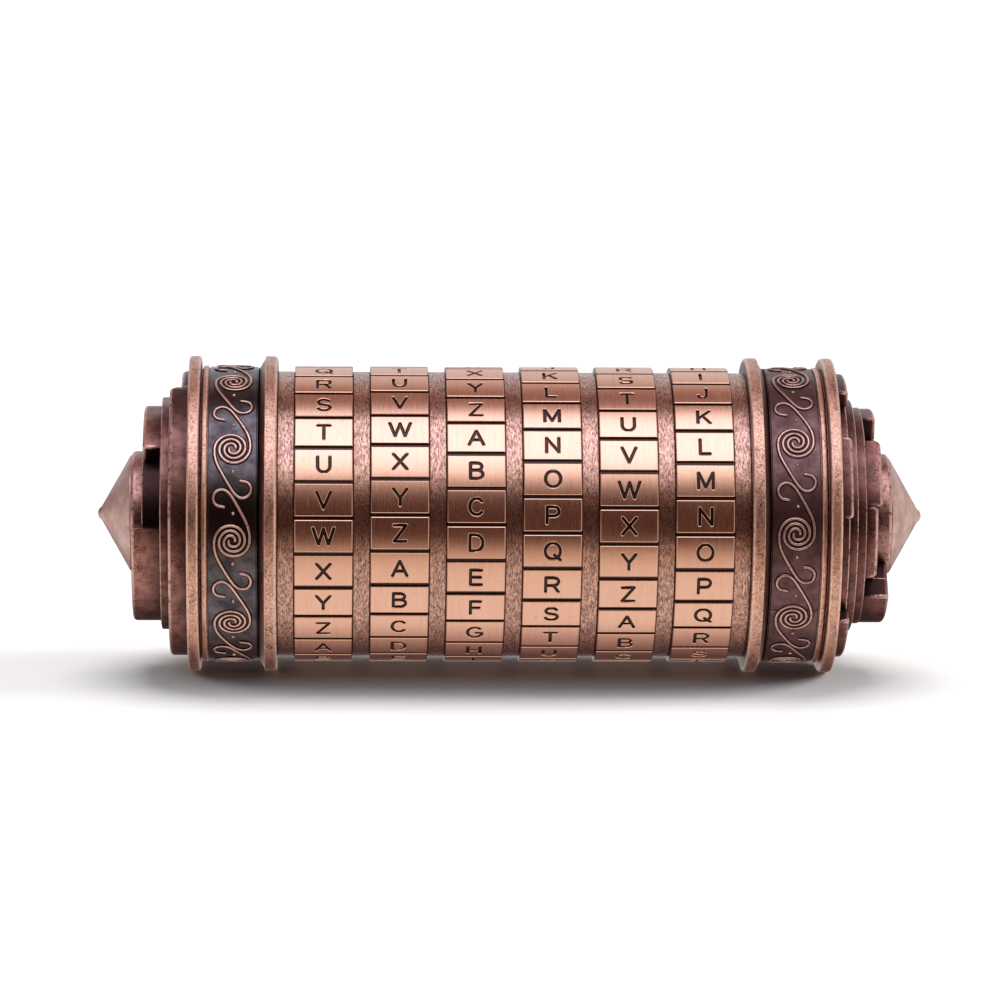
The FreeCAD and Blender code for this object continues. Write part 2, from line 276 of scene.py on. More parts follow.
# For each letter: its width over its height between stroke centres, and its strokes in a unit square.
STROKES = {
    "A": (0.90, [[(0, 0), (0.5, 1)], [(0.5, 1), (1, 0)], [(0.2, 0.34), (0.8, 0.34)]]),
    "B": (0.76, [[(0, 0), (0, 1)], [(0, 1)] + arc(0.56, 0.765, 0.36, 0.235, 90, -90) + [(0, 0.53)],
                 [(0, 0.53)] + arc(0.58, 0.265, 0.42, 0.265, 90, -90) + [(0, 0)]]),
    "C": (0.86, [arc(0.5, 0.5, 0.5, 0.5, 42, 318, 20)]),
    "D": (0.80, [[(0, 0), (0, 1)], bowl(0, 1, 0, 0.42)]),
    "E": (0.68, [[(0, 0), (0, 1)], [(0, 1), (1, 1)], [(0, 0.52), (0.92, 0.52)], [(0, 0), (1, 0)]]),
    "F": (0.62, [[(0, 0), (0, 1)], [(0, 1), (1, 1)], [(0, 0.5), (0.86, 0.5)]]),
    "G": (0.90, [arc(0.5, 0.5, 0.5, 0.5, 46, 318, 20), [(0.87, 0.165), (0.98, 0.24), (0.98, 0.46)],
                 [(0.98, 0.46), (0.58, 0.46)]]),
    "H": (0.76, [[(0, 0), (0, 1)], [(1, 0), (1, 1)], [(0, 0.53), (1, 0.53)]]),
    "I": (0.0, [[(0, 0), (0, 1)]]),
    "J": (0.52, [[(1, 1)] + arc(0.5, 0.3, 0.5, 0.3, 0, -172)]),
    "K": (0.76, [[(0, 0), (0, 1)], [(0.96, 1), (0, 0.34)], [(0.36, 0.6), (1, 0)]]),
    "L": (0.60, [[(0, 0), (0, 1)], [(0, 0), (1, 0)]]),
    "M": (0.90, [[(0, 0), (0, 1)], [(0, 1), (0.5, 0.06)], [(0.5, 0.06), (1, 1)], [(1, 1), (1, 0)]]),
    "N": (0.76, [[(0, 0), (0, 1)], [(0, 1), (1, 0)], [(1, 0), (1, 1)]]),
    "O": (0.94, [arc(0.5, 0.5, 0.5, 0.5, 0, 360, 28)]),
    "P": (0.74, [[(0, 0), (0, 1)], bowl(0, 1, 0.44, 0.58)]),
    "Q": (0.94, [arc(0.5, 0.5, 0.5, 0.5, 0, 360, 28), [(0.6, 0.26), (1.0, -0.05)]]),
    "R": (0.80, [[(0, 0), (0, 1)], bowl(0, 1, 0.46, 0.58), [(0.46, 0.46), (0.66, 0.38), (0.98, 0)]]),
    "S": (0.76, [arc(0.5, 0.75, 0.45, 0.25, 22, 232, 12) + arc(0.5, 0.265, 0.5, 0.265, 52, -160, 12)]),
    "T": (0.76, [[(0, 1), (1, 1)], [(0.5, 1), (0.5, 0)]]),
    "U": (0.76, [[(0, 1)] + arc(0.5, 0.38, 0.5, 0.38, 180, 360, 12) + [(1, 1)]]),
    "V": (0.86, [[(0, 1), (0.5, 0)], [(0.5, 0), (1, 1)]]),
    "W": (1.28, [[(0, 1), (0.26, 0)], [(0.26, 0), (0.5, 0.96)], [(0.5, 0.96), (0.74, 0)],
                 [(0.74, 0), (1, 1)]]),
    "X": (0.84, [[(0, 1), (1, 0)], [(1, 1), (0, 0)]]),
    "Y": (0.84, [[(0, 1), (0.5, 0.44)], [(0.5, 0.44), (1, 1)], [(0.5, 0.44), (0.5, 0)]]),
    "Z": (0.74, [[(0, 1), (1, 1)], [(1, 1), (0, 0)], [(0, 0), (1, 0)]]),
}


def letter_strokes(letter):
    """The stroke centre lines of one letter about its own middle: x to the right, y down, in metres."""
    aspect, strokes = STROKES[letter]
    height = LETTER_HEIGHT - STROKE_WIDTH
    width = aspect * height
    return [np.array([((u - 0.5) * width, (0.5 - v) * height) for u, v in stroke]) for stroke in strokes]


def stroke_outline(line, half_width):
    """The closed outline of a stroke with round ends. A closed line gives two loops."""
    tangents = np.gradient(line, axis=0)
    tangents /= np.linalg.norm(tangents, axis=1)[:, None]
    if np.allclose(line[0], line[-1]):
        tangents[0] = tangents[-1] = (tangents[0] + tangents[-1]) / 2
        normals = np.stack([-tangents[:, 1], tangents[:, 0]], 1)
        return [line[:-1] + normals[:-1] * half_width, line[:-1] - normals[:-1] * half_width]
    normals = np.stack([-tangents[:, 1], tangents[:, 0]], 1)
    caps = []
    for end, normal in ((-1, normals[-1]), (0, -normals[0])):
        start = math.atan2(normal[1], normal[0])
        turns = [start - math.pi * (i + 1) / (STROKE_END_STEPS + 1) for i in range(STROKE_END_STEPS)]
        directions = np.array([(math.cos(a), math.sin(a)) for a in turns])
        caps.append(line[end] + half_width * directions)
    beside = normals * half_width
    return [np.concatenate([line + beside, caps[0], (line - beside)[::-1], caps[1]])]


def distance_to_strokes(points, strokes):
    """How far each point is from the nearest stroke centre line."""
    best = np.full(len(points), np.inf)
    for line in strokes:
        for a, b in zip(line, line[1:]):
            along = b - a
            t = np.clip((points - a) @ along / (along @ along), 0, 1)
            best = np.minimum(best, np.linalg.norm(points - a - t[:, None] * along, axis=1))
    return best


def ramp(value, low, high):
    """0 below low, 1 above high, straight between."""
    return np.clip((value - low) / (high - low), 0, 1)


def tile_patch(letter, length, width):
    """One tile unrolled flat, from groove to groove: points (x, arc length), depths and triangles."""
    half = width / 2
    groove_lines = [0.0, GROOVE_FLOOR / 2, GROOVE_WIDTH / 2, GROOVE_WIDTH / 2 + CHAMFER_WIDTH]
    lines = groove_lines + [length * i / TILE_BENDS for i in range(1, TILE_BENDS)]
    lines += [length - s for s in groove_lines]
    points = []
    edges = []

    def add_line(start, end):
        edges.append((len(points), len(points) + 1))
        points.extend([start, end])

    for s in lines:
        add_line((-half, s), (half, s))
    for side in (-half, -half + TILE_EDGE, half - TILE_EDGE, half):
        add_line((side, 0.0), (side, length))
    centre = np.array((0.0, length / 2))
    strokes = letter_strokes(letter)
    for line in strokes:
        for half_width in (STROKE_WIDTH / 2 + STROKE_CHAMFER, STROKE_WIDTH / 2, STROKE_FLOOR / 2):
            for loop in stroke_outline(line, half_width):
                first = len(points)
                points.extend(tuple(p) for p in loop + centre)
                count = len(loop)
                edges.extend((first + i, first + (i + 1) % count) for i in range(count))
    scale = 1000.0  # the triangulation is done in millimetres
    tolerance = 1e-5
    flat = [Vector((x * scale, s * scale)) for x, s in points]
    out, _, triangles, *_ = geometry.delaunay_2d_cdt(flat, edges, [], 0, tolerance)
    xs = np.array([p[:] for p in out]) / scale
    from_groove = np.minimum(xs[:, 1], length - xs[:, 1])
    groove = 1 - ramp(from_groove, GROOVE_FLOOR / 2, GROOVE_WIDTH / 2)
    groove_edge = 1 - ramp(from_groove, GROOVE_WIDTH / 2, GROOVE_WIDTH / 2 + CHAMFER_WIDTH)
    distance = distance_to_strokes(xs - centre, strokes)
    cut = 1 - ramp(distance, STROKE_FLOOR / 2, STROKE_WIDTH / 2)
    cut_edge = 1 - ramp(distance, STROKE_WIDTH / 2, STROKE_WIDTH / 2 + STROKE_CHAMFER - STROKE_SLACK)
    side = TILE_SIDE_GROOVE * (1 - ramp(half - np.abs(xs[:, 0]), 0, TILE_EDGE))
    depth = np.maximum(CHAMFER_DEPTH * groove_edge + (GROOVE_DEPTH - CHAMFER_DEPTH) * groove,
                       STROKE_CHAMFER / 2 * cut_edge + (LETTER_DEPTH - STROKE_CHAMFER / 2) * cut)
    return xs, np.maximum(depth, side), np.maximum(groove, cut), [tuple(t) for t in triangles]


def close_ring(verts, faces, rims, centre, half, bore):
    """Adds a ring's two flat sides and its bore, inside the outer rims found at the two sides."""
    inner = {}
    for side, rim in rims.items():
        order = sorted(rim)
        count = len(order)
        inner[side] = [len(verts) + i for i in range(count)]
        verts.extend(around(centre + side * half, bore, angle) for angle in order)
        outer = [rim[angle] for angle in order]
        for i in range(count):
            j = (i + 1) % count
            quad = (outer[i], outer[j], inner[side][j], inner[side][i])
            faces.append(quad if side > 0 else quad[::-1])
    count = min(len(inner[1]), len(inner[-1]))
    for i in range(count):
        j = (i + 1) % count
        faces.append((inner[1][i], inner[1][j], inner[-1][j], inner[-1][i]))


def letter_ring(index, patches, material):
    """One letter ring: 26 engraved tiles round the outside, two flat sides and a bore."""
    node = f"letter_ring_{index + 1}"
    low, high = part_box(node)
    radius = high.y
    centre = (low.x + high.x) / 2
    half = (high.x - low.x) / 2
    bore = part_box(f"code_ring_{index + 1}")[1].y + RING_CLEARANCE
    start = math.radians(WHEEL_MARKS[index][0])
    first = LETTERS.index(WHEEL_MARKS[index][1])
    verts = []
    faces = []
    cut = []
    wear_and_shade = []
    flat = []
    keys = {}
    rims = {-1: {}, 1: {}}

    def vertex(x, angle, depth, engraved):
        key = (round(x / (0.001 * MM)), round((angle % TURN) * 1e5) % round(TURN * 1e5))
        if key not in keys:
            keys[key] = len(verts)
            verts.append(around(centre + x, radius - depth, angle))
            cut.append(engraved)
            # How near the tile's side edge a point is; the material paints it dark as shade.
            wear_and_shade.append(1.0 - min(1.0, (half - abs(x)) / TILE_EDGE))
            flat.append(depth < FLAT_DEPTH)
            if abs(abs(x) - half) < 0.01 * MM:
                rims[1 if x > 0 else -1][angle % TURN] = keys[key]
        return keys[key]

    for tile in range(len(LETTERS)):
        points, depth, engraved, triangles = patches[LETTERS[(first + tile) % len(LETTERS)]]
        angle = start + tile * TILE
        here = [vertex(x, angle + s / radius, d, e) for (x, s), d, e in zip(points, depth, engraved)]
        for a, b, c in triangles:
            if len({here[a], here[b], here[c]}) == 3:
                faces.append((here[a], here[b], here[c]))
    close_ring(verts, faces, rims, centre, half, bore)
    added = len(verts) - len(cut)
    cut += [0.0] * added
    wear_and_shade += [0.0] * added
    flat += [False] * added
    finish_piece(f"wheel_{index + 1}_letters", verts, faces, f"wheel_{index + 1}", [node],
                 material, {"cut": cut, "wear_and_shade": wear_and_shade}, SHARP_TILE, flat)


# ---------------------------------------------------------------- scroll bands

def smooth_line(points):
    """A smooth curve through points, as short straight runs."""
    points = [np.array(p, float) for p in points]
    points = [2 * points[0] - points[1]] + points + [2 * points[-1] - points[-2]]
    line = []
    for p0, p1, p2, p3 in zip(points, points[1:], points[2:], points[3:]):
        for step in range(CURVE_STEPS):
            t = step / CURVE_STEPS
            line.append(0.5 * (2 * p1 + (p2 - p0) * t + (2 * p0 - 5 * p1 + 4 * p2 - p3) * t ** 2
                               + (3 * p1 - p0 - 3 * p2 + p3) * t ** 3))
    line.append(points[-2])
    return np.array(line)


# One arm of a scroll after it leaves the spiral's side, about the spiral's centre: along X and down, in mm.
ARM_TAIL = ((2.45, -1.1), (2.05, -2.5), (0.85, -4.75), (-0.35, -6.6), (-1.35, -7.2), (-2.3, -6.85),
            (-2.65, -5.9), (-2.2, -5.05), (-1.1, -4.75))


def scroll_arm(sign):
    """One of the two point-symmetric arms of a scroll, from its inner end out to its hook."""
    spiral = []
    for i in range(SPIRAL_STEPS + 1):
        t = i / SPIRAL_STEPS
        radius = SPIRAL_INNER + (SPIRAL_RADIUS - SPIRAL_INNER) * t
        angle = TURN * SPIRAL_TURNS * (1 - t)
        spiral.append((radius * math.cos(angle), radius * math.sin(angle)))
    tail = [(x * MM, y * MM) for x, y in ARM_TAIL]
    return sign * np.concatenate([np.array(spiral), smooth_line(spiral[-1:] + tail)[1:]])


# A scroll's section, in its half widths: a rounded top, a thin foot on both sides that carries a painted
# shadow, and sunk into the band.
WIRE_SECTION = ((1.7, -0.22), (1.05, -0.05), (0.92, 0.5), (0.62, 0.86), (0.22, 1.0), (-0.22, 1.0),
                (-0.62, 0.86), (-0.92, 0.5), (-1.05, -0.05), (-1.7, -0.22), (-0.8, -0.9), (0.8, -0.9))


def wire(verts, faces, wear_and_shade, line, centre_x, base, start, radius=WIRE_RADIUS):
    """Adds a raised line along the band, with rounded ends."""
    tangents = np.gradient(line, axis=0)
    tangents /= np.linalg.norm(tangents, axis=1)[:, None]
    reach = radius * WIRE_END_REACH
    thick = [(line[0] - tangents[0] * reach, WIRE_END_SHARE)] + [(p, 1.0) for p in line]
    thick.append((line[-1] + tangents[-1] * reach, WIRE_END_SHARE))
    sideways = [tangents[0]] + list(tangents) + [tangents[-1]]
    first = len(verts)
    for (point, share), tangent in zip(thick, sideways):
        normal = np.array((-tangent[1], tangent[0]))
        for across, height in WIRE_SECTION:
            flat = point + normal * radius * share * across
            verts.append(around(centre_x + flat[0], base + radius * share * height, start + flat[1] / base))
            # The height in the section; the material paints the low foot dark as shadow.
            wear_and_shade.append(max(0.0, height))
    sides = len(WIRE_SECTION)
    rows = len(thick)
    for row in range(rows - 1):
        for i in range(sides):
            j = (i + 1) % sides
            a = first + row * sides
            b = a + sides
            faces.append((a + i, a + j, b + j, b + i))
    faces.append(tuple(range(first + sides - 1, first - 1, -1)))
    last = first + (rows - 1) * sides
    faces.append(tuple(range(last, last + sides)))


def scroll_band(side, material):
    """The raised scrolls and dots round one sleeve."""
    low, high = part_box(f"{side}_sleeve")
    centre_x = (low.x + high.x) / 2
    base = high.z + SCROLL_PROUD
    verts = []
    faces = []
    wear_and_shade = []
    for number in range(SCROLLS):
        start = math.radians(SCROLL_START[side]) + TURN * number / SCROLLS
        for sign in (1, -1):
            wire(verts, faces, wear_and_shade, scroll_arm(sign), centre_x, base, start)
        for x, y in DOT_PLACES:
            dot = np.array([(x * MM, y * MM - DOT_STRETCH), (x * MM, y * MM + DOT_STRETCH)])
            wire(verts, faces, wear_and_shade, dot, centre_x, base - DOT_SUNK, start, DOT_RADIUS)
    finish_piece(f"{side}_scrolls", verts, faces, "frame", [], material,
                 {"wear_and_shade": wear_and_shade}, SHARP_SCROLL)


# ---------------------------------------------------------------- end caps

# The same steps, lugs and blocks as the CAD castings: (start, end, distance of the face from the middle).
CAPS = {
    "left": {
        "side": "left",
        "steps": ((17.9, 47.3), (16.6, 49.75)),
        "lugs": ((-69.4, 104.0, 48.5), (104.0, 128.0, 46.9), (146.0, 196.0, 48.5), (214.0, 290.6, 46.9)),
        "blocks": ((-128.0, -45.1, 52.3), (0.1, 112.0, 53.8), (140.0, 200.0, 52.3)),
        "collar": 52.4,
    },
    "right": {
        "side": "right",
        "steps": ((17.9, 47.3), (16.6, 48.6), (15.5, 49.9)),
        "lugs": ((-112.0, -67.3, 47.6), (-41.2, -6.8, 47.6), (39.3, 92.0, 47.6), (118.0, 152.0, 47.6),
                 (176.0, 222.0, 47.6)),
        "blocks": ((-124.0, -72.0, 51.8), (-51.8, -12.8, 52.1), (-12.8, 27.2, 51.5), (40.5, 108.0, 53.5),
                   (134.0, 176.0, 51.5), (176.0, 216.0, 52.6)),
        "collar": 51.5,
    },
}
# Lengths in the caps' own section are in millimetres. The casting's base lies just inside the flange.
CAP_FACE = 45.9
CAP_SUNK = 0.03
CAP_SPIGOT = 41.9
CAP_HUB_RADIUS = 8.85
CAP_HUB_X = 54.1
CAP_COLLAR_RADIUS = 12.0
CAP_BLOCK_RADIUS = 15.35
CAP_LUG_RADIUS = 20.3
CAP_EDGE = 0.55
STEP_EDGE = 0.22
COLLAR_EDGE = 0.15
HUB_EDGE = 0.6
ARRIS_STEPS = 4
CAP_DRAFT = 0.08
WALL_GAP = 0.02
BLOCK_GAP = 0.03
CAP_STEP_DEG = 1.5
STUD_RADIUS = 2.5
STUD_BOTTOM = 48.1
BOSS_RADIUS = {"left": 9.42, "right": 8.57}
LOW_LUG = 47.0
# How dark the casting is made, from 0 to 1: the collar, steps and lugs carry dark patina, while the feet of
# walls and the upper half of the lugs are painted shade
FOOT_SHADE = 0.75
COLLAR_GRIME = 0.3
STEP_GRIME = 0.38
LUG_GRIME = {"left": 0.30, "right": 0.15}
UPPER_SHADE = 0.45
HUB_RUB = 0.5
SMALL = 1e-4


def sector_height(sectors, angle, base, radius):
    """How high a face stands over sectors whose ends are rounded, whether a wall ends there, and its wear."""
    best = base
    wall = False
    worn = 0.0
    for start, end, face in sectors:
        middle = (start + end) / 2
        off = abs((angle - middle + 180) % 360 - 180)
        inside = math.radians((end - start) / 2 - off) * radius
        if inside <= -CAP_DRAFT - SMALL:
            continue
        wall = wall or inside < SMALL
        if inside >= CAP_EDGE:
            best = max(best, face)
        elif inside >= 0:
            worn = max(worn, math.sin(math.pi * inside / CAP_EDGE) if face > base + 0.5 else 0.0)
            round_off = CAP_EDGE - math.sqrt(max(0.0, CAP_EDGE ** 2 - (CAP_EDGE - inside) ** 2))
            best = max(best, face - round_off)
        else:
            best = max(best, base + (face - CAP_EDGE - base) * (1 + inside / CAP_DRAFT))
    return best, wall, worn


def cap_angles(cap):
    """The angles at which the casting's outline is taken: evenly, and closely at the ends of the sectors."""
    angles = {i * CAP_STEP_DEG for i in range(round(360 / CAP_STEP_DEG))}
    for sectors, radius in ((cap["lugs"], CAP_LUG_RADIUS), (cap["blocks"], CAP_BLOCK_RADIUS)):
        for start, end, _ in sectors:
            for edge, inward in ((start, 1), (end, -1)):
                for step in (-CAP_DRAFT, 0.0, 0.05, 0.12, 0.25, 0.4, CAP_EDGE):
                    angles.add(round((edge + inward * math.degrees(step / radius)) % 360, 4))
    return sorted(angles)


def cap_outline(cap, angle, boss_radius):
    """The casting's outline at one angle, as (distance from the middle, radius, wear, patina and painted
    shade).
    """
    steps = cap["steps"]
    lug, lug_wall, lug_worn = sector_height(cap["lugs"], angle, CAP_FACE - CAP_DRAFT, CAP_LUG_RADIUS)
    top = steps[-1][1]
    block, block_wall, block_worn = sector_height(cap["blocks"], angle, top - CAP_DRAFT, CAP_BLOCK_RADIUS)
    # The gaps between the blocks and the blocks' end walls are painted black as shade.
    gap_shade = 1.0 if block_wall or block <= top else 0.0
    # The lugs' dark patina, with painted shade over their upper half.
    lug_patina_and_shade = LUG_GRIME[cap["side"]] + UPPER_SHADE * max(0.0, -math.sin(math.radians(angle)))
    foot_shade = FOOT_SHADE
    # Lug walls and the low lugs are painted black as shade, and so is the foot beside them.
    if lug_wall or lug <= LOW_LUG:
        lug_patina_and_shade = foot_shade = 1.0
    base = CAP_FACE - CAP_SUNK  # the flange's own face shows between the lugs
    underside = base - CAP_SUNK
    points = [(CAP_SPIGOT, boss_radius, 0, 0), (underside, boss_radius, 0, 0)]

    def shoulder(face, radius, foot, edge, dirt_and_shade=0.0, rub=0.0):
        """A wall that rises from a foot painted dark as shade and rounds over into a face with a worn edge.
        """
        edge = min(edge, max(0.01, (face - foot) * 0.9))
        points.append((foot, radius, 0, max(dirt_and_shade, FOOT_SHADE)))
        for step in range(ARRIS_STEPS + 1):
            t = math.pi / 2 * step / ARRIS_STEPS
            points.append((face - edge + edge * math.sin(t), radius - edge + edge * math.cos(t),
                           max(rub, math.sin(2 * t)) if face > foot + 0.1 else 0, dirt_and_shade * (1 - rub)))

    # The lug's underside is painted black as shade.
    points.append((underside, CAP_LUG_RADIUS, 0, 1))
    shoulder(max(lug, base), CAP_LUG_RADIUS, base, CAP_EDGE, lug_patina_and_shade, lug_worn)
    points.append((max(lug, base), steps[0][0] + WALL_GAP, 0, foot_shade))
    foot = base
    for radius, face in steps:
        shoulder(face, radius, foot, STEP_EDGE, STEP_GRIME)
        foot = face
    block_face = max(block, top)
    collar_face = max(cap["collar"], block_face)
    block_radius = min(CAP_BLOCK_RADIUS, steps[-1][0] - BLOCK_GAP)
    shoulder(block_face, block_radius, top, CAP_EDGE, gap_shade, block_worn)
    points.append((block_face, CAP_COLLAR_RADIUS + WALL_GAP, 0, max(gap_shade, COLLAR_GRIME)))
    shoulder(collar_face, CAP_COLLAR_RADIUS, top, COLLAR_EDGE, max(gap_shade, COLLAR_GRIME))
    points.append((collar_face, CAP_HUB_RADIUS + WALL_GAP, 0, max(gap_shade, FOOT_SHADE)))
    shoulder(CAP_HUB_X, CAP_HUB_RADIUS, top, HUB_EDGE, 0.0, HUB_RUB)
    points += [(CAP_HUB_X, STUD_RADIUS, 0, 0), (STUD_BOTTOM, STUD_RADIUS, 0, 0)]
    return points


def end_cap(side, body, material):
    """The stepped casting at one end."""
    cap = CAPS[side]
    sign = side_sign(side)
    angles = cap_angles(cap)
    rows = [cap_outline(cap, angle, BOSS_RADIUS[side]) for angle in angles]
    count = len(rows[0])
    verts = []
    wear_and_shade = []
    grime_and_shade = []
    for angle, row in zip(angles, rows):
        for x, radius, worn, dirt_and_shade in row:
            verts.append(around(sign * x * MM, radius * MM, math.radians(angle)))
            wear_and_shade.append(worn)
            grime_and_shade.append(dirt_and_shade)
    faces = []
    for i in range(len(angles)):
        near = i * count
        far = (i + 1) % len(angles) * count
        for k in range(count - 1):
            faces.append((near + k, far + k, far + k + 1, near + k + 1))
    for k in (0, count - 1):
        faces.append(tuple(i * count + k for i in range(len(angles))))
    finish_piece(f"{side}_cap_casting", verts, faces, body, [f"{side}_end_cap"], material,
                 {"wear_and_shade": wear_and_shade, "grime_and_shade": grime_and_shade}, SHARP_CAP)


# ---------------------------------------------------------------- turned rings

INNER_NECK = 18.9 * MM
SLEEVE_SEAT = 18.95 * MM
SLEEVE_BORE = 19.0 * MM
FLARE_FOOT = 20.6 * MM
FLARE_WIDTH = 0.95 * MM
FLARE_LIP = 0.3 * MM
LIP_ROUNDING = 0.2 * MM
RIM_ROUNDING = 0.45 * MM
BACK_ROUNDING = 0.6 * MM
# Below this depth under the rim, the inner flange is painted dark as shade.
SHADE_FREE_RIM = 0.35 * MM
SHADOW_WIDTH = 0.12 * MM
SHADOW_DEPTH = 0.2 * MM
SHADOW_LINE = 0.04 * MM
FINE_ROUNDING = 0.1 * MM
BEAD_NECK = 0.6 * MM
BEAD_STEP = 0.1 * MM
BEAD_ROUNDING = 0.35 * MM
END_NECK = 44.2 * MM
END_NECK_RADIUS = 20.7 * MM
# Below this radius the outer flange's neck is painted dark as shade.
END_SHADE_FREE_RADIUS = 20.9 * MM
CONE_RADIUS = 8.3 * MM
CONE_LAND = 0.25 * MM
CONE_ROUNDING = 0.2 * MM
CONE_EDGE = 0.1 * MM
TIP_RADIUS = 1.1 * MM
TIP_STEPS = 6
AXIS_GAP = 0.01 * MM
STUD_PLAY = 0.03


def spacer(number, material):
    """One of the fixed rings between the wheels."""
    node = f"spacer_{number}"
    low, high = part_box(node)
    radius = high.y
    outline = ((low.x, TUBE_BORE, 0), (high.x, TUBE_BORE, 0), (high.x, radius), (low.x, radius))
    turned_piece(f"{node}_ring", outline, "frame", [node], material, SPACER_ROUNDING,
                 gated=True)


def side_sign(side):
    """Which way an end lies along X."""
    return -1 if side == "left" else 1


def extent(node):
    """How near to the middle and how far from it a node lies along X, and its radius."""
    low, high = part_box(node)
    near, far = sorted((abs(low.x), abs(high.x)))
    return near, far, high.z


def inner_flange(side, metal):
    """The flared flange beside the wheels, with its throat painted dark as shade and its rim left unshaded.
    """
    near, far, _ = extent(f"{side}_inner_flange")
    rim = cad_box[1].z
    sleeve_near = extent(f"{side}_sleeve")[0]
    crown = sleeve_near - FLARE_WIDTH
    turned_piece(f"{side}_inner_flange_ring", (
        (near, TUBE_BORE, 0), (far, TUBE_BORE, 0), (far, INNER_NECK, 0), (sleeve_near, SLEEVE_SEAT, 0),
        (sleeve_near, FLARE_FOOT, FINE_ROUNDING), (crown, rim - FLARE_LIP, LIP_ROUNDING),
        (crown, rim, RIM_ROUNDING), (near, rim, BACK_ROUNDING),
    ), "frame", [f"{side}_inner_flange"], metal, side=side_sign(side), gated=True,
        shaded_below=rim - SHADE_FREE_RIM)


def sleeve(side, metal):
    """The smooth ground of a scroll band, with a groove beside each edge painted dark as shade, and its mould
    seams.
    """
    near, far, radius = extent(f"{side}_sleeve")
    floor = radius - SHADOW_DEPTH
    line = near + SHADOW_LINE
    turned_piece(f"{side}_sleeve_band", (
        (near, SLEEVE_BORE, 0), (far, SLEEVE_BORE, 0), (far, floor, 0), (far - SHADOW_WIDTH, floor, 0),
        (far - SHADOW_WIDTH, radius, FINE_ROUNDING), (line + SHADOW_WIDTH, radius, FINE_ROUNDING),
        (line + SHADOW_WIDTH, floor, 0), (line, floor, 0), (line, radius, 0), (near, radius, 0),
    ), "frame", [f"{side}_sleeve"], metal, side=side_sign(side), seams=BAND_SEAMS[side],
        shaded_below=radius - FINE_ROUNDING)


def bead_ring(side, metal):
    """The thin bright ring outside the sleeve."""
    near, far, radius = extent(f"{side}_bead_ring")
    turned_piece(f"{side}_bead", (
        (near, TUBE_BORE, 0), (far, TUBE_BORE, 0), (far, radius, BEAD_ROUNDING),
        (near + BEAD_STEP, radius, BEAD_ROUNDING), (near + BEAD_STEP, radius - BEAD_NECK, 0),
        (near, radius - BEAD_NECK, 0),
    ), "frame", [f"{side}_bead_ring"], metal, side=side_sign(side), gated=True)


def end_flange(side, body, metal):
    """The outer flange, set back on its inner face so that the screw heads there stay in sight, with its neck
    painted dark as shade.
    """
    near, far, _ = extent(f"{side}_end_flange")
    near += SCREW_PROUD
    rim = cad_box[1].z
    bore = TUBE_BORE if side == "left" else VAULT_BORE
    turned_piece(f"{side}_end_ring", (
        (near, bore, 0), (far, bore, 0), (far, rim, RIM_ROUNDING), (END_NECK, rim, RIM_ROUNDING),
        (END_NECK, END_NECK_RADIUS, 0), (near, END_NECK_RADIUS, FINE_ROUNDING),
    ), body, [f"{side}_end_flange"], metal, side=side_sign(side),
        shaded_below=END_SHADE_FREE_RADIUS)


def finial(side, body, metal):
    """The cone at the tip, with a rounded point and a stud in the cap."""
    end = cad_box[1].x
    hub = CAP_HUB_X * MM
    slope = math.atan2(end - hub, CONE_RADIUS)
    tip = []
    for step in range(TIP_STEPS + 1):
        turn = (math.pi / 2 - slope) * step / TIP_STEPS
        radius = max(TIP_RADIUS * math.sin(turn), AXIS_GAP)
        tip.append((end - TIP_RADIUS + TIP_RADIUS * math.cos(turn), radius, 0))
    stud = (STUD_BOTTOM * MM, (STUD_RADIUS - STUD_PLAY) * MM)
    turned_piece(f"{side}_cone", (
        (stud[0], AXIS_GAP, 0), *tip, (hub + CONE_LAND, CONE_RADIUS - CONE_EDGE, CONE_ROUNDING),
        (hub, CONE_RADIUS, CONE_EDGE), (hub, stud[1], 0), (*stud, 0),
    ), body, [f"{side}_finial"], metal, side=side_sign(side))


# ---------------------------------------------------------------- materials

class Nodes:
    """Adds and links the nodes of one material or world."""

    def __init__(self, tree):
        self.tree = tree

    def add(self, kind, **settings):
        node = self.tree.nodes.new(kind)
        for key, value in settings.items():
            setattr(node, key, value)
        return node

    def link(self, source, target):
        self.tree.links.new(source, target)

    def maths(self, operation, *values):
        """One sum of sockets or numbers."""
        node = self.add("ShaderNodeMath", operation=operation)
        for slot, value in enumerate(values):
            if isinstance(value, (int, float)):
                node.inputs[slot].default_value = value
            else:
                self.link(value, node.inputs[slot])
        return node.outputs[0]

    def spread(self, value, low, high, to_low=0.0, to_high=1.0):
        """A value stretched from one range to another, clamped."""
        node = self.add("ShaderNodeMapRange")
        for label, number in zip(("From Min", "From Max", "To Min", "To Max"), (low, high, to_low, to_high)):
            node.inputs[label].default_value = number
        self.link(value, node.inputs["Value"])
        return node.outputs[0]

    def mix(self, factor, a, b):
        """Two colours or sockets mixed by a factor."""
        node = self.add("ShaderNodeMix", data_type="RGBA")
        self.link(factor, node.inputs["Factor"])
        for slot, value in ((6, a), (7, b)):
            if isinstance(value, tuple):
                node.inputs[slot].default_value = (*value, 1)
            else:
                self.link(value, node.inputs[slot])
        return node.outputs[2]


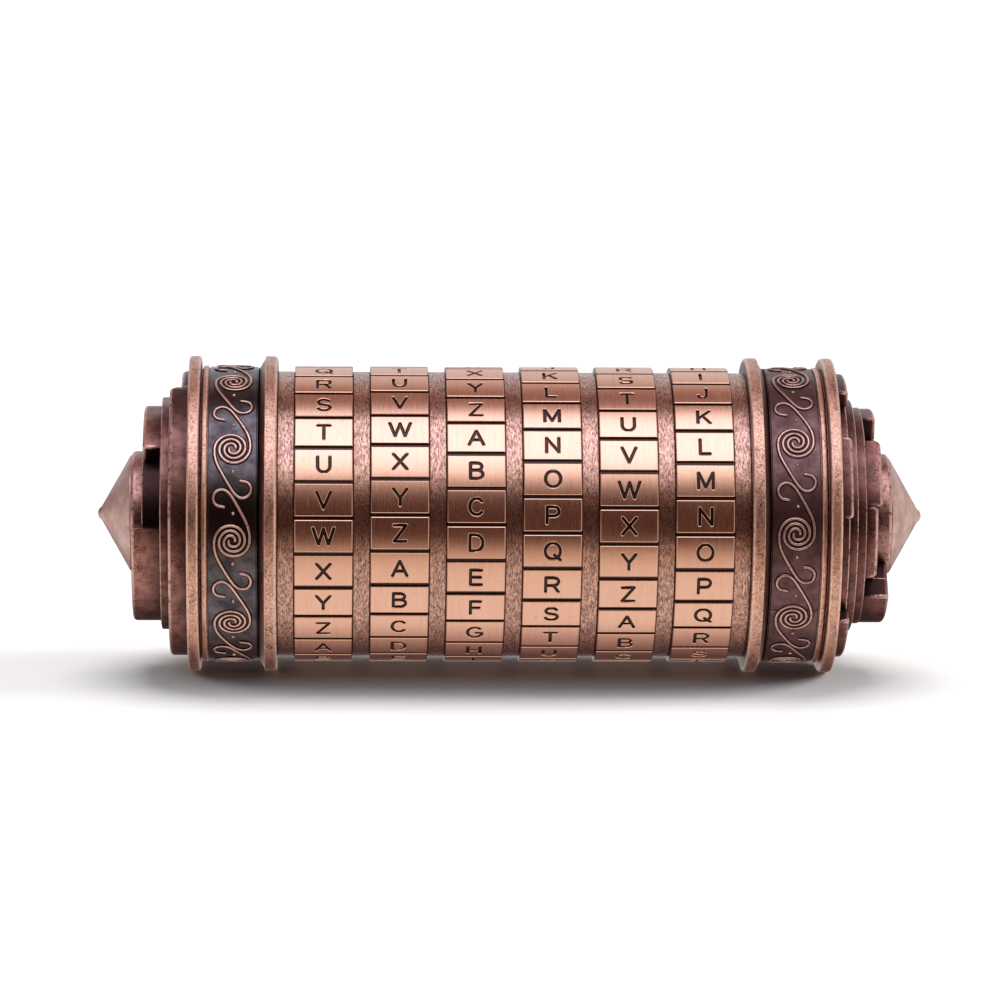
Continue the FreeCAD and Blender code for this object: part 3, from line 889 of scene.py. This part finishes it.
class Surface(Nodes):
    """A metal surface built from nodes in object space."""

    def __init__(self, name, base, roughness):
        self.material = bpy.data.materials.new(name)
        self.material.use_nodes = True
        super().__init__(self.material.node_tree)
        self.shader = self.tree.nodes["Principled BSDF"]
        self.shader.inputs["Metallic"].default_value = 1.0
        self.shader.inputs["Roughness"].default_value = roughness
        self.shader.inputs["Base Color"].default_value = (*base, 1)
        self.place = self.add("ShaderNodeTexCoord").outputs["Object"]
        self.ring_place = self.unrolled()

    def unrolled(self):
        """The surface unrolled: along X, round the ring, and outwards, in metres."""
        parts = self.add("ShaderNodeSeparateXYZ")
        self.link(self.place, parts.inputs[0])
        x, y, z = parts.outputs
        squares = [self.maths("MULTIPLY", side, side) for side in (y, z)]
        radius = self.maths("SQRT", self.maths("ADD", *squares))
        along_rim = self.maths("MULTIPLY", self.maths("ARCTAN2", y, z), RIM_RADIUS)
        joined = self.add("ShaderNodeCombineXYZ")
        for slot, source in enumerate((x, along_rim, radius)):
            self.link(source, joined.inputs[slot])
        return joined.outputs[0]

    def noise(self, size, stretch=(1, 1, 1), detail=3.0, place=None, roughness=0.55, shift=0.0):
        """Noise from 0 to 1 with grains of a size in millimetres, stretched along each axis."""
        mapping = self.add("ShaderNodeMapping")
        mapping.inputs["Location"].default_value = (shift, shift, shift)
        mapping.inputs["Scale"].default_value = [1 / (size * MM * s) for s in stretch]
        self.link(place or self.place, mapping.inputs["Vector"])
        node = self.add("ShaderNodeTexNoise")
        for label, number in (("Scale", 1.0), ("Detail", detail), ("Roughness", roughness)):
            node.inputs[label].default_value = number
        self.link(mapping.outputs[0], node.inputs["Vector"])
        return node.outputs["Fac"]

    def attribute(self, name):
        return self.add("ShaderNodeAttribute", attribute_name=name).outputs["Fac"]

    def colour(self, socket):
        self.link(socket, self.shader.inputs["Base Color"])

    def rough(self, socket):
        self.link(socket, self.shader.inputs["Roughness"])

    def bump(self, *layers):
        """Bumps as (height from 0 to 1, depth in millimetres), one over the other."""
        below = None
        for height, depth in layers:
            node = self.add("ShaderNodeBump")
            node.inputs["Strength"].default_value = 1.0
            node.inputs["Distance"].default_value = depth * MM
            self.link(height, node.inputs["Height"])
            if below:
                self.link(below, node.inputs["Normal"])
            below = node.outputs[0]
        self.link(below, self.shader.inputs["Normal"])


def tile_metal():
    """Brushed, lacquered copper with dark paint in the engraving and painted shade along each tile's side
    edges.
    """
    s = Surface("tile copper", (0.86, 0.475, 0.325), 0.25)
    streaks = s.noise(0.05, (1, 60, 1), 4, s.ring_place)
    broad = s.noise(0.5, (1, 14, 1), 2, s.ring_place)
    shade = s.mix(s.spread(streaks, 0.3, 0.7), (0.78, 0.40, 0.265), (0.93, 0.54, 0.38))
    shade = s.mix(s.spread(broad, 0.35, 0.65, 0.0, 0.30), shade, (0.95, 0.57, 0.41))
    stain = s.spread(s.noise(0.7, (1, 1, 1), 5, shift=3.0), 0.62, 0.75, 0.0, 0.35)
    shade = s.mix(stain, shade, (0.50, 0.22, 0.15))
    engraved = s.spread(s.attribute("cut"), 0.04, 0.40)
    # Painted shade along the tiles' side edges.
    rim = s.spread(s.attribute("wear_and_shade"), 0.1, 0.7, 0.0, 0.92)
    shade = s.mix(rim, shade, (0.16, 0.070, 0.050))
    s.colour(s.mix(engraved, shade, (0.062, 0.038, 0.032)))
    s.rough(s.maths("ADD", s.spread(streaks, 0.3, 0.7, 0.20, 0.29), s.spread(engraved, 0, 1, 0, 0.10)))
    s.bump((streaks, 0.0022), (s.noise(1.4, (1, 2, 1), 2, shift=1.0), 0.008))
    return s.material


def spacer_metal():
    """Browned copper with a coarse turned finish."""
    s = Surface("spacer copper", (0.38, 0.19, 0.15), 0.42)
    grain = s.noise(0.20, (1, 3.4, 1), 5, s.ring_place, 0.8)
    blotch = s.noise(1.3, (1, 2, 1), 4, shift=2.0)
    shade = s.mix(s.spread(grain, 0.38, 0.64), (0.15, 0.060, 0.044), (0.92, 0.53, 0.395))
    shade = s.mix(s.spread(blotch, 0.50, 0.7, 0, 0.4), shade, (0.20, 0.09, 0.075))
    edge = s.spread(s.attribute("wear_and_shade"), 0.3, 1.0, 0.0, 0.6)
    s.colour(s.mix(edge, shade, (0.78, 0.46, 0.37)))
    s.rough(s.spread(grain, 0.35, 0.65, 0.33, 0.19))
    s.bump((grain, 0.028))
    return s.material


def flange_metal(name, dirt_and_shade):
    """Antique copper, speckled with patina, bright along its worn rims, with painted shade in its hollows."""
    s = Surface(name, (0.66, 0.35, 0.26), 0.38)
    grain = s.noise(0.17, (1, 1.8, 1), 5, s.ring_place, 0.8)
    patches = s.noise(1.6, (1, 2.5, 1), 5, s.ring_place, 0.65, 5.0)
    shade = s.mix(s.spread(grain, 0.36, 0.60), (0.30, 0.122, 0.086), (0.96, 0.54, 0.38))
    specks = s.maths("MULTIPLY", s.spread(patches, 0.50, 0.62), s.spread(grain, 0.58, 0.40))
    shade = s.mix(specks, shade, (0.085, 0.042, 0.036))
    # Painted shade in the throat and neck, in the colour given.
    shade = s.mix(s.attribute("grime_and_shade"), shade, dirt_and_shade)
    bare = s.spread(s.noise(0.5, (1, 2, 1), 4, shift=7.0), 0.3, 0.5)
    edge = s.maths("MULTIPLY", s.attribute("wear_and_shade"), bare)
    s.colour(s.mix(s.spread(edge, 0.1, 0.9, 0, 0.85), shade, (0.95, 0.60, 0.46)))
    s.rough(s.spread(grain, 0.35, 0.65, 0.42, 0.24))
    fine = s.noise(0.11, (1, 1.6, 1), 2, s.ring_place, 0.6, 3.0)
    s.bump((grain, 0.045), (fine, 0.022), (s.noise(0.9, (1, 1, 1), 3, shift=4.0), 0.03))
    return s.material


def casting_metal(name, light):
    """Darkened cast copper: sandy, rubbed on its edges, with dark patina on its steps and lugs and painted
    shade in its corners and gaps.
    """
    s = Surface(name, light, 0.40)
    sand = s.noise(0.20, (1, 1, 1), 5, None, 0.8)
    clouds = s.noise(2.4, (1, 1, 1), 4, None, 0.6, 2.0)
    shade = s.mix(s.spread(clouds, 0.38, 0.62), (0.085, 0.034, 0.028), light)
    shade = s.mix(s.spread(sand, 0.48, 0.66, 0, 0.8), shade, (0.66, 0.33, 0.26))
    # Patina and painted shade together, broken up by the sand.
    dirt_and_shade = s.maths("ADD", s.attribute("grime_and_shade"), s.spread(sand, 0.35, 0.65, -0.22, 0.12))
    shade = s.mix(s.spread(dirt_and_shade, 0.15, 0.95), shade, (0.042, 0.020, 0.018))
    bare = s.spread(s.noise(0.6, (1, 1, 1), 4, shift=9.0), 0.3, 0.5)
    rub = s.maths("MULTIPLY", s.attribute("wear_and_shade"), bare)
    s.colour(s.mix(s.spread(rub, 0.15, 0.95, 0, 0.85), shade, (0.80, 0.48, 0.39)))
    s.rough(s.spread(clouds, 0.3, 0.7, 0.38, 0.27))
    s.bump((sand, 0.026), (clouds, 0.02))
    return s.material


def sleeve_metal(name, dark, light, roughness):
    """The dark satin ground of a scroll band."""
    s = Surface(name, dark, roughness)
    clouds = s.noise(1.8, (1, 1.5, 1), 4, None, 0.6, 6.0)
    grit = s.noise(0.16, (1, 1, 1), 4, None, 0.7)
    shade = s.mix(s.spread(clouds, 0.35, 0.68), dark, light)
    shade = s.mix(s.spread(grit, 0.64, 0.76, 0, 0.6), shade, (0.42, 0.27, 0.22))
    edge = s.spread(s.attribute("wear_and_shade"), 0.4, 1.0, 0, 0.4)
    shade = s.mix(edge, shade, (0.36, 0.22, 0.18))
    # The edge grooves are painted near black as shade; the mould seams are dark lines.
    s.colour(s.mix(s.attribute("grime_and_shade"), shade, (0.016, 0.010, 0.010)))
    s.rough(s.spread(clouds, 0.3, 0.7, roughness + 0.05, roughness - 0.05))
    s.bump((grit, 0.010), (clouds, 0.03))
    return s.material


def wire_metal(name, foot, crest):
    """The rubbed copper of the raised scrolls, with painted shadow along the foot."""
    s = Surface(name, crest, 0.42)
    patches = s.noise(0.35, (1, 1, 1), 4, None, 0.6, 1.0)
    crown = s.spread(s.attribute("wear_and_shade"), 0.35, 0.85)
    top = s.maths("MULTIPLY", crown, s.spread(patches, 0.3, 0.5, 0.5, 1.0))
    # The low foot takes the first colour, a painted shadow.
    s.colour(s.mix(top, foot, crest))
    s.rough(s.spread(patches, 0.3, 0.7, 0.34, 0.22))
    s.bump((s.noise(0.1, (1, 1, 1), 3), 0.010))
    return s.material


def finial_metal():
    """Satin pinkish copper with faint dark pores."""
    s = Surface("satin copper", (0.68, 0.45, 0.39), 0.42)
    clouds = s.noise(2.5, (1, 1, 1), 4, None, 0.6, 8.0)
    pores = s.noise(0.22, (1, 1, 1), 5, None, 0.7)
    shade = s.mix(s.spread(clouds, 0.35, 0.65), (0.53, 0.32, 0.26), (0.78, 0.53, 0.46))
    shade = s.mix(s.spread(pores, 0.60, 0.74, 0, 0.6), shade, (0.30, 0.15, 0.12))
    s.colour(shade)
    s.rough(s.spread(pores, 0.3, 0.7, 0.38, 0.48))
    s.bump((pores, 0.010))
    return s.material


def inner_metal(name, light, dark, roughness):
    """Turned, unplated metal of the parts inside."""
    s = Surface(name, light, roughness)
    lines = s.noise(0.12, (1, 40, 1), 3, s.ring_place)
    tarnish = s.noise(3.0, (1, 1, 1), 4, shift=3.0)
    shade = s.mix(s.spread(lines, 0.3, 0.7), dark, light)
    s.colour(s.mix(s.spread(tarnish, 0.5, 0.75, 0, 0.5), shade, tuple(c * 0.5 for c in dark)))
    s.rough(s.spread(lines, 0.3, 0.7, roughness + 0.06, roughness - 0.06))
    s.bump((lines, 0.004))
    return s.material


# ---------------------------------------------------------------- floor, lights and camera

FLOOR_SIZE = 12.0


def floor_material():
    """The matt white of the floor, low enough in brightness for a soft shadow to show on it."""
    material = bpy.data.materials.new("floor white")
    material.use_nodes = True
    shader = material.node_tree.nodes["Principled BSDF"]
    shader.inputs["Base Color"].default_value = (0.24, 0.233, 0.227, 1)
    shader.inputs["Roughness"].default_value = 0.85
    shader.inputs["Specular IOR Level"].default_value = 0.15
    return material


def make_floor():
    """A pale floor under the flanges, wide enough to fill the view."""
    bpy.ops.mesh.primitive_plane_add(size=FLOOR_SIZE, location=(0, 0, cad_box[0].z))
    floor = bpy.context.object
    floor.name = "floor"
    floor.data.materials.append(floor_material())
    floor.visible_glossy = False


# The lamps that light the floor: name, strength, width in degrees, and lean about X and about Y in degrees.
LAMPS = (
    ("overhead", 8.2, 40, -20, 0),
    ("from the right", 8.6, 36, -8, 62),
    ("from the left", 2.6, 40, -8, -52),
)


def make_lamps():
    """Wide soft lamps, one overhead and a little behind and one at each end, that metal doesn't mirror."""
    for name, strength, width, lean_x, lean_y in LAMPS:
        lamp = bpy.data.lights.new(name, "SUN")
        lamp.energy = strength
        lamp.angle = math.radians(width)
        thing = bpy.data.objects.new(name, lamp)
        thing.rotation_euler = (math.radians(lean_x), math.radians(lean_y), 0)
        thing.visible_glossy = False
        bpy.context.scene.collection.objects.link(thing)


# The studio's soft light by height: degrees above the front horizon, over the top and down behind.
DARK_ROOM = (0.068, 0.028, 0.021)
CARD = (0.96, 0.96, 0.97)
SOFTBOX = (1.85, 1.98, 2.42)
BACKDROP = (0.75, 0.79, 0.86)
STUDIO = (
    (-180, BACKDROP), (-168, (0.50, 0.50, 0.52)), (-152, (0.10, 0.07, 0.07)),
    (-136, (0.09, 0.06, 0.06)), (-120, (0.24, 0.17, 0.17)), (-107, (0.46, 0.38, 0.38)),
    (-97, (0.68, 0.62, 0.62)), (-86, CARD), (-60, CARD), (-38, (0.90, 0.88, 0.86)), (-27, (0.77, 0.71, 0.65)),
    (-19, (0.48, 0.36, 0.30)), (-13, (0.09, 0.055, 0.045)), (-8, DARK_ROOM), (20, DARK_ROOM),
    (29, (0.28, 0.19, 0.16)), (36, (0.80, 0.78, 0.78)), (44, (1.70, 1.78, 2.0)), (54, SOFTBOX),
    (87, SOFTBOX), (94, (1.20, 1.18, 1.28)), (99, (0.27, 0.155, 0.13)), (110, (0.21, 0.11, 0.095)),
    (121, (0.35, 0.21, 0.18)), (130, (0.66, 0.58, 0.60)), (143, BACKDROP), (180, BACKDROP),
)
# The cards at the two ends, from low to high.
SIDE_CARD_LOW = (0.92, 0.93, 0.95)
LEFT_CARD_HIGH = (0.33, 0.27, 0.26)
RIGHT_CARD_HIGH = (0.74, 0.71, 0.71)


def make_world():
    """A soft studio: a softbox above, white cards below and at the ends, and the dark room in front."""
    world = bpy.data.worlds.new("studio")
    bpy.context.scene.world = world
    world.use_nodes = True
    studio = Nodes(world.node_tree)
    parts = studio.add("ShaderNodeSeparateXYZ")
    studio.link(studio.add("ShaderNodeTexCoord").outputs["Generated"], parts.inputs[0])
    x, y, z = parts.outputs
    height = studio.maths("ARCTAN2", z, studio.maths("MULTIPLY", y, -1.0))
    bands = studio.add("ShaderNodeValToRGB")
    studio.link(studio.spread(height, -math.pi, math.pi), bands.inputs[0])
    stops = bands.color_ramp.elements
    while len(stops) > 1:
        stops.remove(stops[-1])
    for number, (degrees, colour) in enumerate(STUDIO):
        place = (degrees + 180) / 360
        stop = stops[0] if number == 0 else stops.new(place)
        stop.position = place
        stop.color = (*colour, 1)
    card_high = studio.mix(studio.spread(x, -0.1, 0.1), LEFT_CARD_HIGH, RIGHT_CARD_HIGH)
    side_card = studio.mix(studio.spread(z, -0.22, 0.12), SIDE_CARD_LOW, card_high)
    beside = studio.spread(studio.maths("ABSOLUTE", x), 0.42, 0.68)
    light = studio.mix(beside, bands.outputs[0], side_card)
    studio.link(light, studio.tree.nodes["Background"].inputs[0])


def make_camera():
    """A long lens a little above the axis, with the right end a little farther away."""
    distance = 830.5 * MM
    width_at_axis = 143.34 * MM
    lift = math.radians(8.0)
    turn = math.radians(1.7)
    roll = math.radians(0.2)
    facing = Vector((0, -math.cos(lift), math.sin(lift)))
    down = Vector((0, -math.sin(lift), -math.cos(lift)))
    along = Vector((1, 0, 0))
    back = -math.sin(turn) * along + math.cos(turn) * facing
    right = math.cos(turn) * along + math.sin(turn) * facing
    rolled_right = math.cos(roll) * right - math.sin(roll) * down
    rolled_down = math.sin(roll) * right + math.cos(roll) * down
    right_of_middle = 1.455 * MM
    below_middle = 2.035 * MM
    place = back * distance - rolled_right * right_of_middle - rolled_down * below_middle
    lens = bpy.data.cameras.new("camera")
    sensor = 36
    lens.sensor_width = sensor
    lens.lens = sensor * distance / width_at_axis
    lens.clip_start = 0.05
    lens.clip_end = 30
    camera = bpy.data.objects.new("camera", lens)
    bpy.context.scene.collection.objects.link(camera)
    up = -rolled_down
    camera.matrix_world = Matrix((
        (rolled_right.x, up.x, back.x, place.x),
        (rolled_right.y, up.y, back.y, place.y),
        (rolled_right.z, up.z, back.z, place.z),
        (0, 0, 0, 1),
    ))
    bpy.context.scene.camera = camera


# ---------------------------------------------------------------- assembly

# Each flange's second colour is the painted shade in its recesses.
materials = {
    "left_flange": flange_metal("flange copper", (0.030, 0.016, 0.015)),
    "right_flange": flange_metal("flange copper red", (0.110, 0.052, 0.048)),
    "finial": finial_metal(),
    "left_sleeve": sleeve_metal("band left", (0.058, 0.046, 0.048), (0.150, 0.124, 0.130), 0.21),
    "right_sleeve": sleeve_metal("band right", (0.105, 0.050, 0.048), (0.200, 0.105, 0.100), 0.36),
}
tiles = tile_metal()
spacers = spacer_metal()
# The first colour of each is the painted shadow along the scrolls' foot.
wires = {
    "left": wire_metal("scroll copper", (0.012, 0.008, 0.008), (0.80, 0.47, 0.37)),
    "right": wire_metal("scroll copper red", (0.030, 0.015, 0.014), (0.62, 0.36, 0.29)),
}
castings = {
    "left": casting_metal("dark copper", (0.38, 0.160, 0.130)),
    "right": casting_metal("dark red copper", (0.27, 0.098, 0.080)),
}

wheel_low, wheel_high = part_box("letter_ring_1")
tile_length = TILE * wheel_high.y
tile_patches = {c: tile_patch(c, tile_length, wheel_high.x - wheel_low.x) for c in LETTERS}
for wheel in range(WHEELS):
    letter_ring(wheel, tile_patches, tiles)
for number in range(1, WHEELS + 2):
    spacer(number, spacers)
for end, outer_body in (("left", "frame"), ("right", "vault")):
    flange_copper = materials[f"{end}_flange"]
    inner_flange(end, flange_copper)
    sleeve(end, materials[f"{end}_sleeve"])
    bead_ring(end, flange_copper)
    end_flange(end, outer_body, flange_copper)
    finial(end, outer_body, materials["finial"])
    scroll_band(end, wires[end])
    end_cap(end, outer_body, castings[end])

brass = inner_metal("turned brass", (0.62, 0.46, 0.24), (0.42, 0.29, 0.14), 0.32)
steel = inner_metal("screw steel", (0.40, 0.39, 0.38), (0.22, 0.21, 0.21), 0.36)
for name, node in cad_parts.items():
    if not node.hide_render:
        node.data.materials.clear()
        node.data.materials.append(steel if "screws" in name or "locking_pin" in name else brass)

make_floor()
make_world()
make_lamps()
make_camera()
bpy.context.scene.view_settings.view_transform = "Standard"
